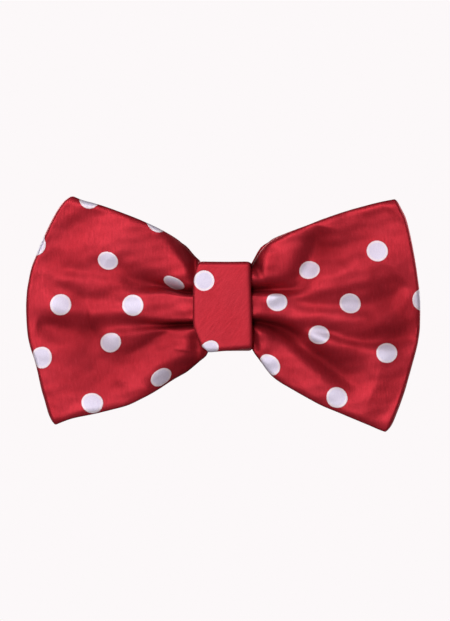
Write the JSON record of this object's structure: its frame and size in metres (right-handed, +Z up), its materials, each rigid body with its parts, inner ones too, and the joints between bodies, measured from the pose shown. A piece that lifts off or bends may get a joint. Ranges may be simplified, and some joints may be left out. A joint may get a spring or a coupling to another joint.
{
  "type": "pre-tied clip-on bow tie",
  "caption": "Pre-tied satin bow tie with a gathered butterfly loop, a wrapped knot and a sprung steel collar clip behind it.",
  "frame": {"origin": "centre of the clip bar's rear face, on the level of the knot's centre; this is where the collar band's front lies", "axes": "+X along the wings towards the right as seen from the front, +Y back towards the collar, +Z up; the front of the bow faces -Y"},
  "size_m": [0.1204, 0.0248, 0.0714],
  "materials": {
    "bow_satin": "woven satin with woven pale dots",
    "knot_satin": "woven satin with woven pale dots",
    "interlining": "brushed woven interlining",
    "binding_thread": "waxed polyester thread",
    "sewing_thread": "polyester sewing thread",
    "plated_steel": "bright nickel plate",
    "pin_steel": "plain rivet steel",
    "spring_wire": "drawn spring wire"
  },
  "bodies": {
    "bow": {"bar_tacking_thread": "binding_thread", "bow_interlining": "interlining", "bow_shell": "bow_satin", "clip_bar": "plated_steel", "gathering_thread": "binding_thread", "hinge_pin_left": "pin_steel", "hinge_pin_right": "pin_steel", "knot_closing_stitches": "sewing_thread", "knot_interlining": "interlining", "knot_wrap": "knot_satin", "loop_end_stitches": "sewing_thread", "torsion_spring_left": "spring_wire", "torsion_spring_right": "spring_wire"},
    "clip_arm_left": {"clip_arm_left": "plated_steel"},
    "clip_arm_right": {"clip_arm_right": "plated_steel"}
  },
  "joints": [
    {"name": "jaw_hinge_left", "type": "hinge", "parent": "bow", "child": "clip_arm_left", "pos_m": [-0.018, 0.0024, 0], "axis": [0, 0, -1], "range_deg": [0, 25], "stiffness_Nm_per_rad": 0.01, "deforming": ["torsion_spring_left"]},
    {"name": "jaw_hinge_right", "type": "hinge", "parent": "bow", "child": "clip_arm_right", "pos_m": [0.018, 0.0024, 0], "axis": [0, 0, 1], "range_deg": [0, 25], "stiffness_Nm_per_rad": 0.01, "deforming": ["torsion_spring_right"]}
  ]
}
